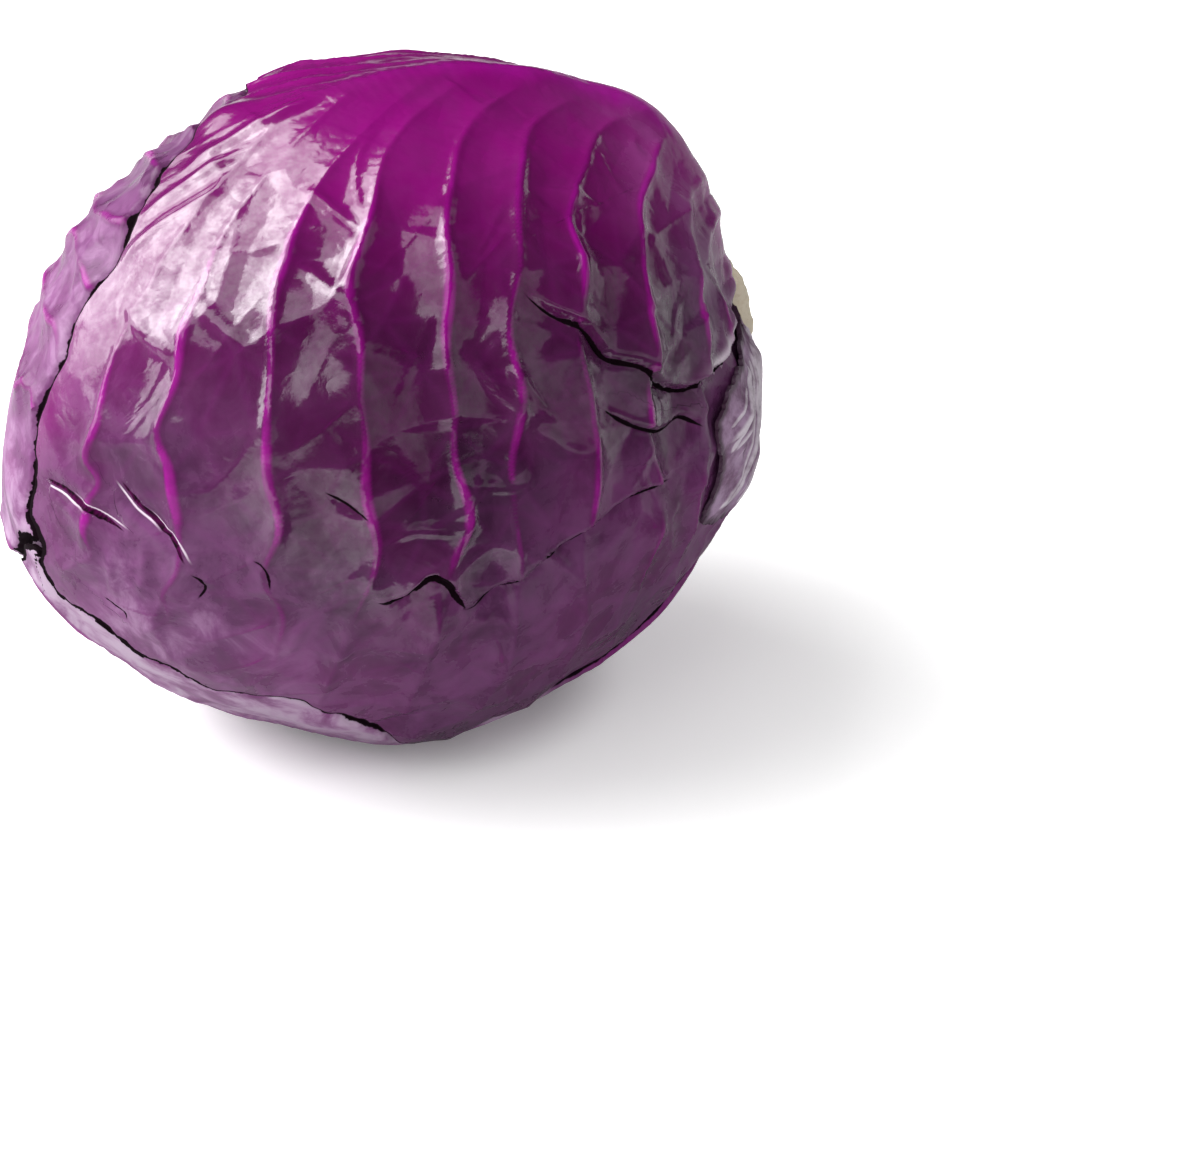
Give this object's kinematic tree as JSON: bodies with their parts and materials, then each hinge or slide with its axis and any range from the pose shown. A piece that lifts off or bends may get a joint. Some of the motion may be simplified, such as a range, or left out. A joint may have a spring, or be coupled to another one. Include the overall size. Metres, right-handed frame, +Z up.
{
  "type": "red cabbage",
  "caption": "Whole red cabbage head lying on its side, with a cut stem, waxy overlapping outer leaves, trimmed stalk bases, nested inner leaves and a core.",
  "frame": {"origin": "on the floor under the middle of the head, at the centre of the bounding box's bottom face", "axes": "+X along the head's long axis towards the cut stem, +Z up"},
  "size_m": [0.1713, 0.1384, 0.1394],
  "materials": {
    "leaf_skin": "smooth waxy leaf skin, glossy, with a grey bloom",
    "inner_leaf": "smooth moist leaf",
    "stalk_skin": "ribbed leaf stalk, dry and waxy",
    "stem_flesh": "matt cut stem flesh"
  },
  "bodies": {
    "root": {"stem_core": "stem_flesh", "leaf_stalk_near": "stalk_skin", "leaf_stalk_far": "stalk_skin", "leaf_stalk_top": "stalk_skin", "wrapper_leaf_top": "leaf_skin", "wrapper_leaf_lower": "leaf_skin", "wrapper_leaf_far": "leaf_skin", "inner_leaf_1": "inner_leaf", "inner_leaf_2": "inner_leaf", "inner_leaf_3": "inner_leaf", "inner_leaf_4": "inner_leaf", "inner_leaf_5": "inner_leaf", "inner_leaf_6": "inner_leaf", "inner_leaf_7": "inner_leaf", "inner_leaf_8": "inner_leaf", "inner_leaf_9": "inner_leaf", "heart": "inner_leaf"}
  },
  "joints": []
}
